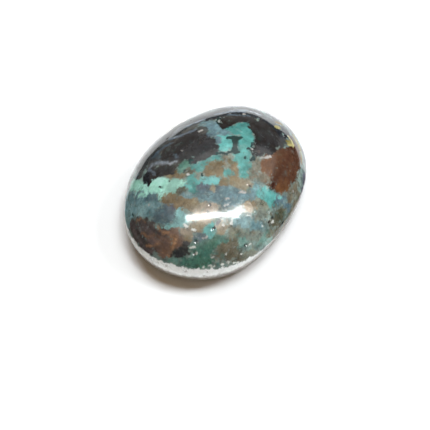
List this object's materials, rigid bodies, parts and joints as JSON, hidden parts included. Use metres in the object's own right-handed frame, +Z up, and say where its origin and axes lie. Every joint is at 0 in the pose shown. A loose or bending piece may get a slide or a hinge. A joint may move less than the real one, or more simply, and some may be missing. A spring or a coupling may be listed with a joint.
{
  "type": "turquoise with pyrite cabochon",
  "caption": "Polished oval cabochon of turquoise with pyrite: a domed stone on a flat back with a rounded foot, for setting in a bezel or for display.",
  "frame": {"origin": "middle of the flat back, at the centre of the oval's box", "axes": "+Z up from the flat back to the crown of the dome, +X along the oval's length, +Y across it"},
  "size_m": [0.018, 0.0136, 0.0062],
  "materials": {
    "stone": "high polish, mottled turquoise, bronze pyrite and dark matrix"
  },
  "bodies": {
    "root": {"cabochon": "stone"}
  },
  "joints": []
}
